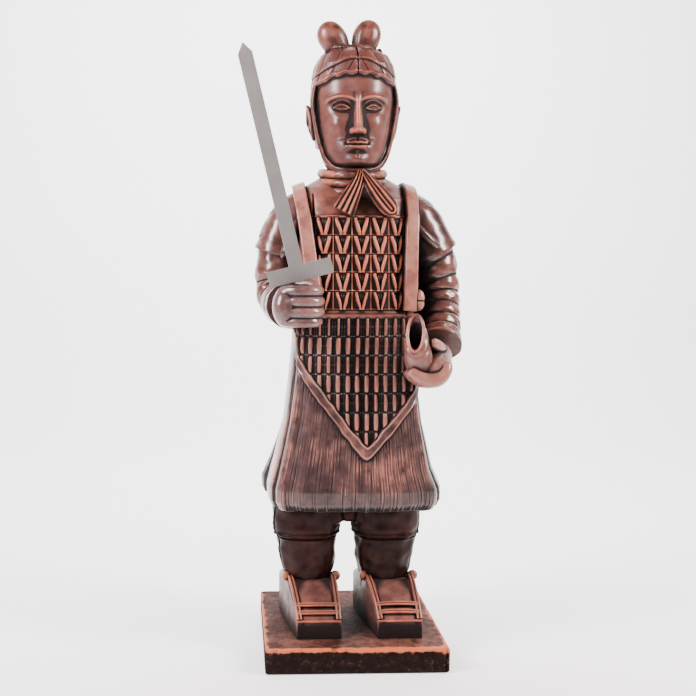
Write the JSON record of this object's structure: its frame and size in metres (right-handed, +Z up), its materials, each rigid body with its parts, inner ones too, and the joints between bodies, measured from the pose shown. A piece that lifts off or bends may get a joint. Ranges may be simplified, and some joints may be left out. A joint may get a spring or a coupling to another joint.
{
  "type": "statue of an ancient warrior",
  "caption": "Life-size moulded figure of an ancient armoured warrior on a square plinth, holding a flat sword upright.",
  "frame": {"origin": "middle of the plinth's underside", "axes": "+Z up; -Y towards the viewer that the figure faces; +X towards the figure's left hand"},
  "size_m": [0.6391, 0.5785, 1.7964],
  "materials": {
    "resin": "satin reddish-brown moulded resin like waxed terracotta, dark in its recesses and rubbed orange on its edges",
    "sword_grey": "matt grey paint, slightly worn at its edges"
  },
  "bodies": {
    "root": {"figure_with_plinth": "resin", "sword": "sword_grey"}
  },
  "joints": []
}
